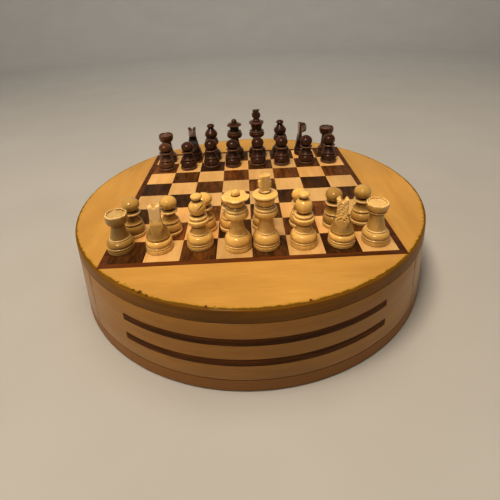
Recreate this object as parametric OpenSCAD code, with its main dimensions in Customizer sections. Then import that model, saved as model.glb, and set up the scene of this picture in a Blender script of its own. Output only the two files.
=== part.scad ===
// Round chess case with two pull-out drawers, an inlaid board on top and a full set of turned chessmen.
// Millimetres. The case stands on z = 0, the files a to h run along +X and the front drawer opens towards -Y.

/* [Case] */
// Diameter of the round case
case_d = 320; // [304:1:340]
// Thickness of the felt pads under the base
pad_t = 1; // [0.5:0.1:2]
// Diameter of each felt pad
pad_d = 24; // [16:1:30]
// Thickness of the base board
base_t = 9; // [8:0.5:12]
// Height of the space that holds the drawers
space_h = 47.5; // [44:0.5:60]
// Thickness of the top board under its veneer
top_t = 9.9; // [8:0.1:14]
// Thickness of the veneer on the top board
veneer_t = 0.6; // [0.5:0.1:1]
// Thickness of the bent sides left and right
side_t = 6; // [4:0.5:9]
// Thickness of the straight walls that guide the drawers
guide_t = 8; // [7:0.5:11]
// Thickness of the partition between the drawers
partition_t = 6; // [4:0.5:10]
// Shank diameter of the screws through the base
screw_d = 3.5; // [3:0.1:4]
// Head diameter of the screws through the base
screw_head_d = 7; // [6:0.1:8]
// Length of the screws through the base
screw_l = 24; // [18:1:30]

/* [Board] */
// Width of the dark band around the squares
band_w = 4.9; // [3:0.1:7]
// How far the corners of the dark band stay inside the rim
corner_inset = 0.9; // [0.5:0.1:3]
// Width of the glue line between two pieces of veneer
veneer_joint = 0.06; // [0.04:0.01:0.1]

/* [Drawers] */
// Width of each drawer
drawer_w = 246; // [230:1:250]
// Running clearance around a drawer
drawer_gap = 0.4; // [0.3:0.05:0.8]
// Thickness of the bent drawer front
front_t = 10; // [8:0.5:13]
// Thickness of the side and back walls of a drawer
tray_wall_t = 6; // [5:0.5:8]
// Height of the side and back walls of a drawer
tray_wall_h = 36; // [30:0.5:40]
// Thickness of the drawer floor
tray_floor_t = 4.5; // [4:0.1:6]
// Thickness of the felt in the drawers
lining_t = 1; // [0.8:0.1:1.5]
// How far a drawer pulls out
drawer_travel = 95; // [80:1:100]
// Diameter of the stop pin under each drawer
stop_pin_d = 5; // [4:0.1:6]
// How deep the stop pin sits in the base
stop_pin_seat = 6; // [4:0.5:7]
// Depth of the groove that the stop pin runs in
stop_groove_depth = 2.6; // [2.2:0.1:3.2]
// Distance from the middle of the case to each stop pin
stop_pin_reach = 125; // [115:1:130]
// Height of each dark stripe in a drawer front
stripe_h = 5.8; // [3:0.1:7]
// Depth of the inlaid stripes
stripe_t = 1.2; // [0.8:0.1:2]
// Height from one stripe's middle to the other's
stripe_pitch = 16.8; // [10:0.1:22]
// Half the angle that a stripe spans round the case
stripe_half_angle = 35; // [20:1:40]

/* [Turned feet of the chessmen] */
// Base diameter of the king, queen, bishops, knights and rooks
base_d = 20.8; // [18:0.1:22]
// Base diameter of the pawns
pawn_base_d = 18.4; // [16:0.1:20]
// Height of the lowest disc
disc_h = 3.2; // [2.5:0.1:4]
// Height of the ring above the lowest disc
ring_h = 1.9; // [1.4:0.1:2.5]
// Depth of the turned grooves
groove = 0.45; // [0.3:0.05:0.6]
// Height of the bead where the foot meets the stem
bead_h = 1.4; // [1:0.1:2]
// How far that bead stands out
bead_out = 0.75; // [0.4:0.05:1]

/* [King] */
// Height of the king's bulb above its widest line
king_bulb_h = 5.7; // [4:0.1:7]
// Diameter of the king's foot at the bead
king_neck_d = 12.8; // [11:0.1:14]
// Height of the king's stem
king_stem_h = 11.7; // [9:0.1:16]
// Diameter of the king's stem
king_stem_d = 9.8; // [8:0.1:10.5]
// Height of the king's double collar
king_collar_h = 8.4; // [6:0.1:10]
// Diameter of the king's double collar
king_collar_d = 18; // [14:0.1:19.5]
// Height of the king's crown
king_crown_h = 12.8; // [10:0.1:15]
// Diameter of the white king's crown
king_crown_d = 19; // [16:0.1:20]
// Diameter of the dark king's crown
dark_king_crown_d = 17.3; // [15:0.1:20]
// Height of the king's cross above the crown
king_cross_h = 12; // [9:0.1:15]
// Width of the king's cross
king_cross_w = 9.5; // [7:0.1:11]
// Thickness of the king's cross
king_cross_t = 6; // [4.5:0.1:7]

/* [Queen] */
// Height of the queen's bulb above its widest line
queen_bulb_h = 5.7; // [4:0.1:7]
// Diameter of the queen's foot at the bead
queen_neck_d = 12.4; // [11:0.1:14]
// Height of the queen's stem
queen_stem_h = 11.2; // [8:0.1:15]
// Diameter of the queen's stem
queen_stem_d = 9.2; // [7:0.1:10.5]
// Height of the queen's double collar
queen_collar_h = 9; // [6:0.1:11]
// Diameter of the queen's double collar
queen_collar_d = 18; // [14:0.1:19.5]
// Height of the white queen's coronet up to its rim
queen_crown_h = 9.4; // [8:0.1:12]
// Diameter of the white queen's coronet
queen_crown_d = 20.6; // [17:0.1:20.8]
// Rise of the white queen's coronet from its rim to the ball
queen_dome_h = 0.9; // [0.5:0.1:3]
// Height of the dark queen's coronet up to its rim
dark_queen_crown_h = 7.9; // [6:0.1:12]
// Diameter of the dark queen's coronet
dark_queen_crown_d = 17.2; // [15:0.1:20.8]
// Rise of the dark queen's coronet from its rim to the ball
dark_queen_dome_h = 2.4; // [0.5:0.1:4]
// Number of scallops in the coronet
queen_scallops = 5; // [4:1:9]
// Diameter of the ball on the coronet
queen_ball_d = 6.2; // [5:0.1:8]

/* [Bishop] */
// Height of the bishop's bulb above its widest line
bishop_bulb_h = 4.7; // [3:0.1:6]
// Diameter of the bishop's foot at the bead
bishop_neck_d = 13; // [12:0.1:14]
// Height of the bishop's stem
bishop_stem_h = 5.7; // [4:0.1:9]
// Diameter of the bishop's stem
bishop_stem_d = 10.6; // [8:0.1:11.5]
// Height of the bishop's double collar
bishop_collar_h = 8.2; // [6:0.1:10]
// Diameter of the bishop's double collar
bishop_collar_d = 16.2; // [13:0.1:18]
// Diameter of the bishop's round head
bishop_head_d = 13.2; // [11:0.1:15]
// Width of the slot in the bishop's head
bishop_slot_w = 1; // [0.8:0.1:2]
// Diameter of the bishop's finial
bishop_finial_d = 8.6; // [6:0.1:10]
// Height of the bishop's finial
bishop_finial_h = 5; // [3:0.1:7]

/* [Knight] */
// Height of the knight's bulb above its widest line
knight_bulb_h = 3.6; // [3:0.1:5]
// Diameter of the seat under the knight's bell
knight_seat_d = 16.4; // [15:0.1:18]
// Diameter of the turned bell that carries the knight's head
knight_bell_d = 17.8; // [16:0.1:18.5]
// Height of the carved part from its seat to the ears
knight_head_h = 28.7; // [24:0.1:32]
// Length of the side outline from mane to chest at its foot
knight_head_l = 18.6; // [15:0.1:20]
// Thickness of the carved part where its hollow sides begin
knight_foot_t = 16; // [12:0.1:18]
// Thickness of the carved head across its ears
knight_ears_t = 8.4; // [6:0.1:10]

/* [Rook] */
// Height of the rook's bulb above its widest line
rook_bulb_h = 3.3; // [2.5:0.1:5]
// Diameter of the rook's foot at the bead
rook_neck_d = 14.2; // [13:0.1:15.5]
// Height of the stem of the white rook on file h
rook_stem_h = 12.3; // [9:0.1:16]
// Height of the stem of the white rook on file a, which is shorter
short_rook_stem_h = 10.4; // [8:0.1:16]
// Height of the dark rooks' stems
dark_rook_stem_h = 13.4; // [9:0.1:16]
// Diameter of the rook's stem
rook_stem_d = 11; // [9:0.1:12]
// Height of the rook's tower
rook_tower_h = 9.5; // [7:0.1:12]
// Diameter of the rook's tower
rook_tower_d = 16.6; // [14.5:0.1:18]
// Wall thickness of the rook's tower
rook_wall_t = 1.7; // [1.2:0.1:3]
// Depth of the dish in the rook's tower
rook_dish_h = 1.2; // [0.8:0.1:3]
// Depth of the notches in the rook's tower
rook_notch_h = 1; // [0.6:0.1:2]
// Width of the notches in the rook's tower
rook_notch_w = 2.8; // [2:0.1:4]

/* [Pawn] */
// Height of the pawn's bulb above its widest line
pawn_bulb_h = 6.4; // [4:0.1:8]
// Diameter of the pawn's foot at the bead
pawn_neck_d = 13.6; // [12:0.1:14.5]
// Height of the pawn's stem
pawn_stem_h = 6.4; // [5:0.1:10]
// Diameter of the pawn's stem
pawn_stem_d = 8.2; // [6:0.1:9]
// Diameter of the pawn's collar
pawn_collar_d = 13.9; // [11:0.1:16]
// Thickness of the pawn's collar
pawn_collar_h = 1.9; // [1.2:0.1:3]
// Diameter of the pawn's round head
pawn_head_d = 13.7; // [11:0.1:15]

/* [Hidden] */
$fn = 96;
case_r = case_d / 2;
glue_gap = 0.05;

// Heights of the case, from the table up
base_z = pad_t;
space_z = base_z + base_t;
top_z = space_z + space_h;
veneer_z = top_z + top_t;
board_z = veneer_z + veneer_t;

// The corners of the dark band reach almost to the rim, and the squares fill what it leaves
band_outer = (case_r - corner_inset) / sqrt(2);
square = 2 * (band_outer - band_w) / 8;
field = 4 * square;

// Places of the straight walls and the drawers
guide_x = drawer_w / 2 + drawer_gap;
side_inner_r = case_r - side_t;
front_inner_r = case_r - front_t;
front_h = space_h - 2 * drawer_gap;
drawer_z = space_z + drawer_gap;
tray_back_y = partition_t / 2 + drawer_gap;
tray_inner_x = drawer_w / 2 - tray_wall_t;
lining_z = drawer_z + tray_floor_t;
stripe_mid_z = space_z + space_h / 2;
pin_z = space_z - stop_pin_seat;
pin_top_z = drawer_z + stop_groove_depth - drawer_gap;

// Felt pads and screws stand on even circles and rows
pad_ring_r = case_r - pad_d / 2 - 8;
screw_rows = [-50, 0, 50];
screw_x = guide_x + guide_t / 2;
partition_screw_x = 60;

// The men: where each one stands, as shares of the free room beside its base on its square
files = ["a", "b", "c", "d", "e", "f", "g", "h"];
back_rank = ["rook", "knight", "bishop", "queen", "king", "bishop", "knight", "rook"];
white_back_place = [
    [-2.3, 2.0], [-1.3, 1.5], [0.1, 2.1], [0.95, 0.5], [-0.8, 0.6], [-0.3, 0.55], [0.3, 0.2], [0, 0.3]
];
white_pawn_place = [
    [-0.55, -0.15], [0.45, -0.1], [0.85, 0.7], [-1.05, 0.55],
    [-1.15, 0.65], [0.1, 0.85], [0.15, -0.1], [-0.85, 0.8]
];
dark_pawn_place = [
    [0.5, -0.2], [-0.1, 0], [-0.4, 0.6], [-1.15, 0.4],
    [-0.6, 0.3], [-0.5, 0.2], [-0.25, 0], [-0.5, 0.4]
];
dark_back_place = [
    [-0.3, -1.0], [0.8, 0.4], [-0.5, -0.8], [-0.3, -0.2], [-0.5, -0.4], [-0.2, 0.3], [-0.1, 0.8], [0.1, -0.7]
];
// The way each man faces, in degrees from +X
white_turn = [20, 96, -5, 0, 8, 150, 74, 35];
dark_turn = [10, -88, 60, 20, -12, 200, 4, 30];
slot_tilt = 71;
arc_steps = 8;

function back_name(side, i) =
    let (kind = back_rank[i])
    kind == "king" || kind == "queen" ? str(side, "_", kind) : str(side, "_", kind, "_", files[i]);
function pawn_name(side, i) = str(side, "_pawn_", files[i]);

// Case

module disc(r, z, h) {
    translate([0, 0, z]) cylinder(r = r, h = h);
}

module ring_sector(inner_r, outer_r, z, h, half_angle, facing) {
    translate([0, 0, z])
        rotate([0, 0, facing - half_angle])
            rotate_extrude(angle = 2 * half_angle)
                translate([inner_r, 0]) square([outer_r - inner_r, h]);
}

module at_screws() {
    for (x = [-screw_x, screw_x])
        for (y = screw_rows)
            translate([x, y, base_z]) children();
    for (x = [-partition_screw_x, partition_screw_x])
        translate([x, 0, base_z]) children();
}

module at_stop_pins() {
    for (y = [-stop_pin_reach, stop_pin_reach]) translate([0, y, 0]) children();
}

module screw() {
    head_h = (screw_head_d - screw_d) / 2;
    cylinder(d1 = screw_head_d, d2 = screw_d, h = head_h);
    cylinder(d = screw_d, h = screw_l);
}

module base_board() {
    color("rosybrown") difference() {
        disc(case_r, base_z, base_t);
        at_screws() screw();
        at_stop_pins() translate([0, 0, pin_z]) cylinder(d = stop_pin_d, h = space_z);
    }
}

module felt_pads() {
    color("dimgray")
        for (a = [45:90:315]) rotate([0, 0, a]) translate([pad_ring_r, 0, 0]) cylinder(d = pad_d, h = pad_t);
}

module base_screws() {
    color("silver") at_screws() screw();
}

module stop_pins() {
    color("tan") at_stop_pins() translate([0, 0, pin_z]) cylinder(d = stop_pin_d, h = pin_top_z - pin_z);
}

module partition() {
    color("burlywood") difference() {
        translate([-guide_x, -partition_t / 2, space_z]) cube([2 * guide_x, partition_t, space_h]);
        at_screws() screw();
    }
}

module guide_wall(side) {
    difference() {
        intersection() {
            translate([side > 0 ? guide_x : -guide_x - guide_t, -case_r, space_z])
                cube([guide_t, case_d, space_h]);
            disc(side_inner_r - glue_gap, space_z, space_h);
        }
        at_screws() screw();
    }
}

module bent_side(side) {
    intersection() {
        difference() {
            disc(case_r, space_z, space_h);
            disc(side_inner_r, space_z - 1, space_h + 2);
        }
        translate([side > 0 ? guide_x : -guide_x - case_r, -case_r, space_z]) cube([case_r, case_d, space_h]);
    }
}

module left_guide_wall() {
    color("burlywood") guide_wall(-1);
}

module right_guide_wall() {
    color("burlywood") guide_wall(1);
}

module left_bent_side() {
    color("peru") bent_side(-1);
}

module right_bent_side() {
    color("peru") bent_side(1);
}

module top_board() {
    color("saddlebrown") disc(case_r, top_z, top_t);
}

// Veneer on the top

// The quarter of the disc between the two diagonals that face one way
module margin(facing) {
    inner = band_outer + veneer_joint;
    rotate([0, 0, facing]) intersection() {
        disc(case_r, veneer_z, veneer_t);
        translate([0, 0, veneer_z]) linear_extrude(veneer_t)
            polygon([
                [inner, veneer_joint - inner], [case_r, veneer_joint - case_r],
                [case_r, case_r - veneer_joint], [inner, inner - veneer_joint]
            ]);
    }
}

module margin_front_back() {
    color("goldenrod") {
        margin(-90);
        margin(90);
    }
}

module margin_sides() {
    color("goldenrod") {
        margin(0);
        margin(180);
    }
}

module dark_band() {
    inner = field + veneer_joint;
    color("#4a2a18") intersection() {
        disc(case_r, veneer_z, veneer_t);
        for (a = [0:90:270]) rotate([0, 0, a]) translate([0, 0, veneer_z]) linear_extrude(veneer_t)
            polygon([
                [inner, veneer_joint - inner], [band_outer, veneer_joint - band_outer],
                [band_outer, band_outer - veneer_joint], [inner, inner - veneer_joint]
            ]);
    }
}

module squares_of(parity) {
    tile = square - veneer_joint;
    intersection() {
        disc(case_r, veneer_z, veneer_t);
        for (i = [0:7])
            for (j = [0:7])
                if ((i + j) % 2 == parity)
                    translate([i * square - field + veneer_joint / 2, j * square - field + veneer_joint / 2, veneer_z])
                        cube([tile, tile, veneer_t]);
    }
}

module dark_squares() {
    color("#3d2114") squares_of(0);
}

module light_squares() {
    color("#dcae6c") squares_of(1);
}

// Drawers, drawn at the front and turned half round for the back

module stripe(mid_z, extra) {
    ring_sector(case_r - stripe_t, case_r + extra, mid_z - stripe_h / 2, stripe_h, stripe_half_angle, -90);
}

module stripes(extra) {
    for (side = [-1, 1]) stripe(stripe_mid_z + side * stripe_pitch / 2, extra);
}

module drawer_front() {
    difference() {
        intersection() {
            difference() {
                disc(case_r, drawer_z, front_h);
                disc(front_inner_r, drawer_z - 1, front_h + 2);
            }
            translate([-drawer_w / 2, -case_r, drawer_z]) cube([drawer_w, case_r, front_h]);
        }
        stripes(1);
    }
}

module drawer_walls() {
    intersection() {
        difference() {
            translate([-drawer_w / 2, -case_r, drawer_z]) cube([drawer_w, case_r - tray_back_y, tray_wall_h]);
            translate([-tray_inner_x, -case_r - 1, drawer_z - 1])
                cube([2 * tray_inner_x, case_r + 1 - tray_back_y - tray_wall_t, tray_wall_h + 2]);
        }
        disc(front_inner_r - glue_gap, drawer_z, tray_wall_h);
    }
}

module tray_shape(z, h, inset) {
    back_y = tray_back_y + tray_wall_t + inset;
    intersection() {
        translate([-tray_inner_x + inset, -case_r, z]) cube([2 * (tray_inner_x - inset), case_r - back_y, h]);
        disc(front_inner_r - glue_gap - inset, z, h);
    }
}

module stop_groove() {
    groove_w = stop_pin_d + 2 * drawer_gap;
    translate([0, 0, drawer_z - 1]) {
        translate([-groove_w / 2, -stop_pin_reach, 0]) cube([groove_w, drawer_travel, stop_groove_depth + 1]);
        for (y = [-stop_pin_reach, drawer_travel - stop_pin_reach])
            translate([0, y, 0]) cylinder(d = groove_w, h = stop_groove_depth + 1);
    }
}

module drawer_floor() {
    difference() {
        tray_shape(drawer_z, tray_floor_t, 0);
        stop_groove();
    }
}

module drawer_felt() {
    tray_shape(lining_z, lining_t, 0.3);
}

module to_back() {
    rotate([0, 0, 180]) children();
}

module front_drawer_front() {
    color("peru") drawer_front();
}

module front_drawer_stripes() {
    color("#3d2114") stripes(0);
}

module front_drawer_walls() {
    color("burlywood") drawer_walls();
}

module front_drawer_floor() {
    color("wheat") drawer_floor();
}

module front_drawer_felt() {
    color("darkgreen") drawer_felt();
}

module back_drawer_front() {
    color("peru") to_back() drawer_front();
}

module back_drawer_stripes() {
    color("#3d2114") to_back() stripes(0);
}

module back_drawer_walls() {
    color("burlywood") to_back() drawer_walls();
}

module back_drawer_floor() {
    color("wheat") to_back() drawer_floor();
}

module back_drawer_felt() {
    color("darkgreen") to_back() drawer_felt();
}

// Outlines of the turned men, as radius and height from the bottom up

function arc(r, z, w, h, from, to) =
    [for (i = [0:arc_steps]) let (a = from + (to - from) * i / arc_steps) [r + w * cos(a), z + h * sin(a)]];

// How far the widest line of a bulb lies above the disc and ring under it
bulb_rise = 1.4;

function foot_h(bulb_h) = disc_h + ring_h + bulb_rise + bulb_h + bead_h;

// Disc, ring, bulb and bead
function foot(d, neck_d, bulb_h) =
    let (
        r = d / 2,
        ring_r = r - groove / 2,
        ring_top = disc_h + ring_h,
        wide_z = ring_top + bulb_rise,
        bead_z = wide_z + bulb_h
    )
    concat(
        [[0, 0], [r - groove, 0], [r, groove], [r, disc_h - groove], [r - groove, disc_h]],
        [[ring_r, disc_h + groove], [ring_r, ring_top - groove], [ring_r - groove, ring_top]],
        [[ring_r - 2 * groove, ring_top + 0.05], [ring_r - groove, ring_top + 0.2 * bulb_rise]],
        [[ring_r - 0.2 * groove, ring_top + 0.55 * bulb_rise]],
        arc(neck_d / 2, wide_z, ring_r - neck_d / 2, bulb_h, 0, 90),
        arc(neck_d / 2, bead_z + bead_h / 2, bead_out, bead_h / 2, -90, 90)
    );

// A stem that curves in from the bead and runs up to its thin end
function stem(wide_d, thin_d, z, h) =
    [for (i = [0:arc_steps])
        let (a = 90 * i / arc_steps)
        [thin_d / 2 + (wide_d - thin_d) / 2 * (1 - sin(a)), z + h * (1 - cos(a))]];

// A deep bowl with a wide edge, a line round it, and a ring on top that closes down to the neck
function collar(stem_d, d, neck_d, z, h) =
    let (
        r = d / 2,
        wide_z = z + 0.42 * h,
        line_z = z + 0.7 * h,
        half = 0.15 * h,
        upper_r = 0.92 * r
    )
    concat(
        arc(stem_d / 2, wide_z, r - stem_d / 2, 0.42 * h, -84, 0),
        [[r - 0.6 * groove, line_z - 0.5 * half], [upper_r - groove, line_z]],
        arc(upper_r - 0.8 * half, line_z + half, 0.8 * half, 0.9 * half, -60, 60),
        [[neck_d / 2, z + h]]
    );

module turned(outline) {
    rotate_extrude() polygon(outline);
}

module king(crown_d) {
    foot_top = foot_h(king_bulb_h);
    collar_z = foot_top + king_stem_h;
    crown_z = collar_z + king_collar_h;
    cross_z = crown_z + king_crown_h;
    r = crown_d / 2;
    neck_r = 0.7 * r;
    h = king_crown_h;
    turned(concat(
        foot(base_d, king_neck_d, king_bulb_h),
        stem(king_neck_d, king_stem_d, foot_top, king_stem_h),
        collar(king_stem_d, king_collar_d, 2 * neck_r, collar_z, king_collar_h),
        arc(neck_r - bead_out / 2, crown_z + bead_h / 2, bead_out, 0.8 * bead_h / 2, -80, 80),
        [[0.65 * r, crown_z + bead_h], [0.71 * r, crown_z + 0.19 * h], [0.77 * r, crown_z + 0.31 * h]],
        [[0.83 * r, crown_z + 0.45 * h], [0.86 * r, crown_z + 0.58 * h], [0.9 * r, crown_z + 0.61 * h]],
        arc(0.87 * r, crown_z + 0.72 * h, 0.13 * r, 0.1 * h, -55, 90),
        [[0.74 * r, crown_z + 0.845 * h], [0.46 * r, crown_z + 0.885 * h], [0.43 * r, crown_z + 0.92 * h]],
        [[0.43 * r, crown_z + 0.98 * h], [0.39 * r, cross_z], [0, cross_z]]
    ));
    king_cross(cross_z);
}

// A cross with flared arms, cut from a plate that stands on the crown
module king_cross(z) {
    w = king_cross_w / 2;
    h = king_cross_h;
    half = [
        [0.69 * w, -1], [0.69 * w, 0.03 * h], [0.5 * w, 0.21 * h], [w, 0.33 * h],
        [w, 0.67 * h], [0.54 * w, 0.77 * h], [0.89 * w, h]
    ];
    mirrored = [for (i = [len(half) - 1:-1:0]) [-half[i][0], half[i][1]]];
    translate([0, king_cross_t / 2, z]) rotate([90, 0, 0]) linear_extrude(king_cross_t)
        polygon(concat(half, mirrored));
}

module queen(crown_d, crown_h, dome_h) {
    foot_top = foot_h(queen_bulb_h);
    collar_z = foot_top + queen_stem_h;
    crown_z = collar_z + queen_collar_h;
    rim_z = crown_z + crown_h;
    lip = 0.15 * crown_h;
    r = crown_d / 2;
    neck_r = 0.6 * r;
    notch_r = 0.24 * r;
    difference() {
        turned(concat(
            foot(base_d, queen_neck_d, queen_bulb_h),
            stem(queen_neck_d, queen_stem_d, foot_top, queen_stem_h),
            collar(queen_stem_d, queen_collar_d, 2 * neck_r, collar_z, queen_collar_h),
            arc(r, crown_z + 0.1 * crown_h, neck_r - r, 0.6 * crown_h, 0, 70),
            arc(r - lip, rim_z - lip, lip, lip, -30, 90),
            [[0.6 * r, rim_z + 0.55 * dome_h], [0.3 * r, rim_z + dome_h], [0, rim_z + dome_h]]
        ));
        for (i = [0:queen_scallops - 1])
            rotate([0, 0, i * 360 / queen_scallops - 46])
                translate([r + 0.4 * notch_r, 0, crown_z + 0.45 * crown_h])
                    rotate([0, 12, 0]) cylinder(r = notch_r, h = crown_h, $fn = 32);
    }
    translate([0, 0, rim_z + dome_h + 0.14 * queen_ball_d]) sphere(d = queen_ball_d);
}

module bishop() {
    foot_top = foot_h(bishop_bulb_h);
    collar_z = foot_top + bishop_stem_h;
    collar_top = collar_z + bishop_collar_h;
    r = bishop_head_d / 2;
    waist_r = 0.45 * r;
    head_z = collar_top + r * sin(60);
    waist_z = head_z + sqrt(r * r - waist_r * waist_r);
    finial_z = waist_z + 0.64 * bishop_finial_h;
    difference() {
        turned(concat(
            foot(base_d, bishop_neck_d, bishop_bulb_h),
            stem(bishop_neck_d, bishop_stem_d, foot_top, bishop_stem_h),
            collar(bishop_stem_d, bishop_collar_d, 2 * r * cos(60), collar_z, bishop_collar_h),
            arc(0, head_z, r, r, -60, acos(waist_r / r)),
            arc(0, finial_z, bishop_finial_d / 2, bishop_finial_h / 2, -50, 90)
        ));
        translate([0.32 * r, 0, head_z + 0.37 * r])
            rotate([0, slot_tilt, 0])
                translate([0, -r, 0]) cube([bishop_slot_w, 2 * r, 1.2 * r]);
    }
}

module knight() {
    seat_z = foot_h(knight_bulb_h) - bead_h;
    turned(concat(
        [for (p = foot(base_d, knight_seat_d, knight_bulb_h)) if (p[1] < seat_z) p],
        [[knight_seat_d / 2, seat_z], [0, seat_z]]
    ));
    difference() {
        intersection() {
            knight_bell(seat_z);
            knight_side(seat_z);
            knight_front(seat_z);
        }
        knight_notch(seat_z);
    }
}

// The turned blank that the head is carved from
module knight_bell(z) {
    r = knight_bell_d / 2;
    h = knight_head_h;
    turned([
        [0, z - 1], [0.88 * r, z - 1], [0.9 * r, z], [0.99 * r, z + 0.03 * h], [r, z + 0.055 * h],
        [0.95 * r, z + 0.1 * h], [0.89 * r, z + 0.17 * h], [0.87 * r, z + 0.25 * h], [0.87 * r, z + h + 1],
        [0, z + h + 1]
    ]);
}

// The outline as seen from its side, facing +X
module knight_side(z) {
    l = knight_head_l / 2;
    h = knight_head_h;
    side_points = [
        [-l, -2], [-l, 0.066 * h], [-0.86 * l, 0.19 * h], [-0.74 * l, 0.31 * h], [-0.61 * l, 0.425 * h],
        [-0.54 * l, 0.535 * h], [-0.53 * l, 0.915 * h], [-0.46 * l, 0.97 * h], [-0.33 * l, h],
        [-0.17 * l, 0.98 * h], [0.28 * l, 0.965 * h], [0.42 * l, 0.92 * h], [0.45 * l, 0.8 * h],
        [0.43 * l, 0.685 * h], [0.33 * l, 0.64 * h], [0.04 * l, 0.62 * h], [-0.14 * l, 0.62 * h],
        [-0.2 * l, 0.565 * h], [-0.18 * l, 0.47 * h], [-0.05 * l, 0.375 * h], [0.23 * l, 0.29 * h],
        [0.57 * l, 0.215 * h], [0.83 * l, 0.145 * h], [l, 0.08 * h], [l, -2]
    ];
    translate([0, knight_bell_d, z]) rotate([90, 0, 0]) linear_extrude(2 * knight_bell_d) polygon(side_points);
}

// The outline as seen from the front, its sides hollowed
module knight_front(z) {
    foot_w = knight_foot_t / 2;
    top_w = knight_ears_t / 2;
    h = knight_head_h;
    half = [
        [1.25 * foot_w, -3], [1.16 * foot_w, 0.066 * h], [0.97 * foot_w, 0.136 * h], [0.86 * foot_w, 0.206 * h],
        [0.77 * foot_w, 0.275 * h], [0.7 * foot_w, 0.345 * h], [0.5 * (0.7 * foot_w + top_w), 0.44 * h],
        [0.98 * top_w, 0.55 * h], [0.89 * top_w, 0.69 * h], [0.91 * top_w, 0.83 * h], [top_w, 1.1 * h]
    ];
    mirrored = [for (i = [len(half) - 1:-1:0]) [-half[i][0], half[i][1]]];
    translate([-knight_head_l, 0, z]) rotate([90, 0, 90]) linear_extrude(2 * knight_head_l)
        polygon(concat(half, mirrored));
}

// The wedge that parts the ears
module knight_notch(z) {
    top_w = knight_ears_t / 2;
    h = knight_head_h;
    translate([-knight_head_l, 0, z]) rotate([90, 0, 90]) linear_extrude(1.07 * knight_head_l)
        polygon([[0, 0.85 * h], [0.38 * top_w, 1.02 * h], [-0.38 * top_w, 1.02 * h]]);
}

// A rook's head is a deep bowl, or a drum above a ring
module rook(stem_h, ringed) {
    foot_top = foot_h(rook_bulb_h);
    tower_z = foot_top + stem_h;
    h = rook_tower_h;
    rim_z = tower_z + h;
    r = rook_tower_d / 2;
    neck_r = rook_stem_d / 2;
    difference() {
        turned(concat(
            foot(base_d, rook_neck_d, rook_bulb_h),
            stem(rook_neck_d, rook_stem_d, foot_top, stem_h),
            ringed ? rook_ring(tower_z, neck_r, r, h) : rook_bowl(tower_z, neck_r, r, h),
            [[0.985 * r, tower_z + 0.58 * h], [r, tower_z + 0.73 * h], [0.993 * r, tower_z + 0.86 * h]],
            [[0.97 * r, tower_z + 0.95 * h], [0.93 * r, tower_z + 0.99 * h], [0.9 * r, rim_z]],
            [[r - rook_wall_t, rim_z], [r - rook_wall_t - groove, rim_z - rook_dish_h]],
            [[0, rim_z - 0.8 * rook_dish_h]]
        ));
        for (a = [0, 90])
            rotate([0, 0, a]) translate([-case_r, -rook_notch_w / 2, rim_z - rook_notch_h])
                cube([case_d, rook_notch_w, rook_notch_h + 1]);
    }
}

function rook_ring(z, neck_r, r, h) = concat(
    [[1.05 * neck_r, z + 0.04 * h], [0.75 * r, z + 0.126 * h], [0.81 * r, z + 0.19 * h]],
    arc(0.8 * r, z + 0.25 * h, bead_out, 0.055 * h, -70, 70),
    [[0.81 * r, z + 0.32 * h], [0.89 * r, z + 0.36 * h], [0.95 * r, z + 0.45 * h]]
);

function rook_bowl(z, neck_r, r, h) = [
    [1.03 * neck_r, z + 0.02 * h], [0.72 * r, z + 0.05 * h], [0.8 * r, z + 0.11 * h],
    [0.88 * r, z + 0.2 * h], [0.94 * r, z + 0.31 * h], [0.97 * r, z + 0.43 * h]
];

module pawn() {
    foot_top = foot_h(pawn_bulb_h) - ring_h;
    collar_z = foot_top + pawn_stem_h;
    r = pawn_head_d / 2;
    low = asin(0.92);
    outline = concat(
        [for (p = foot(pawn_base_d, pawn_neck_d, pawn_bulb_h)) if (p[1] <= disc_h) p],
        [for (p = foot(pawn_base_d, pawn_neck_d, pawn_bulb_h)) if (p[1] > disc_h + ring_h + 0.1) [p[0], p[1] - ring_h]],
        stem(pawn_neck_d, pawn_stem_d, foot_top, pawn_stem_h),
        arc(pawn_collar_d / 2 - pawn_collar_h / 2, collar_z + pawn_collar_h / 2, pawn_collar_h / 2, pawn_collar_h / 2, -90, 90),
        arc(0, collar_z + pawn_collar_h + 0.92 * r - groove, r, r, -low, 90)
    );
    turned(outline);
}

module man(kind, dark = false, i = 0) {
    if (kind == "king") king(dark ? dark_king_crown_d : king_crown_d);
    if (kind == "queen" && dark) queen(dark_queen_crown_d, dark_queen_crown_h, dark_queen_dome_h);
    if (kind == "queen" && !dark) queen(queen_crown_d, queen_crown_h, queen_dome_h);
    if (kind == "bishop") bishop();
    if (kind == "knight") knight();
    if (kind == "rook" && dark) rook(dark_rook_stem_h, false);
    if (kind == "rook" && !dark) rook(i == 0 ? short_rook_stem_h : rook_stem_h, i > 0);
    if (kind == "pawn") pawn();
}

module stand(file, rank, place, d, turn) {
    room = (square - d) / 2;
    translate([(file - 3.5) * square + place[0] * room, (rank - 3.5) * square + place[1] * room, board_z])
        rotate([0, 0, turn]) children();
}

module white_back(i) {
    color("#d9a55c") stand(i, 0, white_back_place[i], base_d, white_turn[i]) man(back_rank[i], false, i);
}

module white_pawn(i) {
    color("#d9a55c") stand(i, 1, white_pawn_place[i], base_d, 0) man("pawn");
}

module dark_back(i) {
    color("#2b120b") stand(i, 7, dark_back_place[i], base_d, dark_turn[i]) man(back_rank[i], true, i);
}

module dark_pawn(i) {
    color("#2b120b") stand(i, 6, dark_pawn_place[i], base_d, 0) man("pawn");
}

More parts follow.
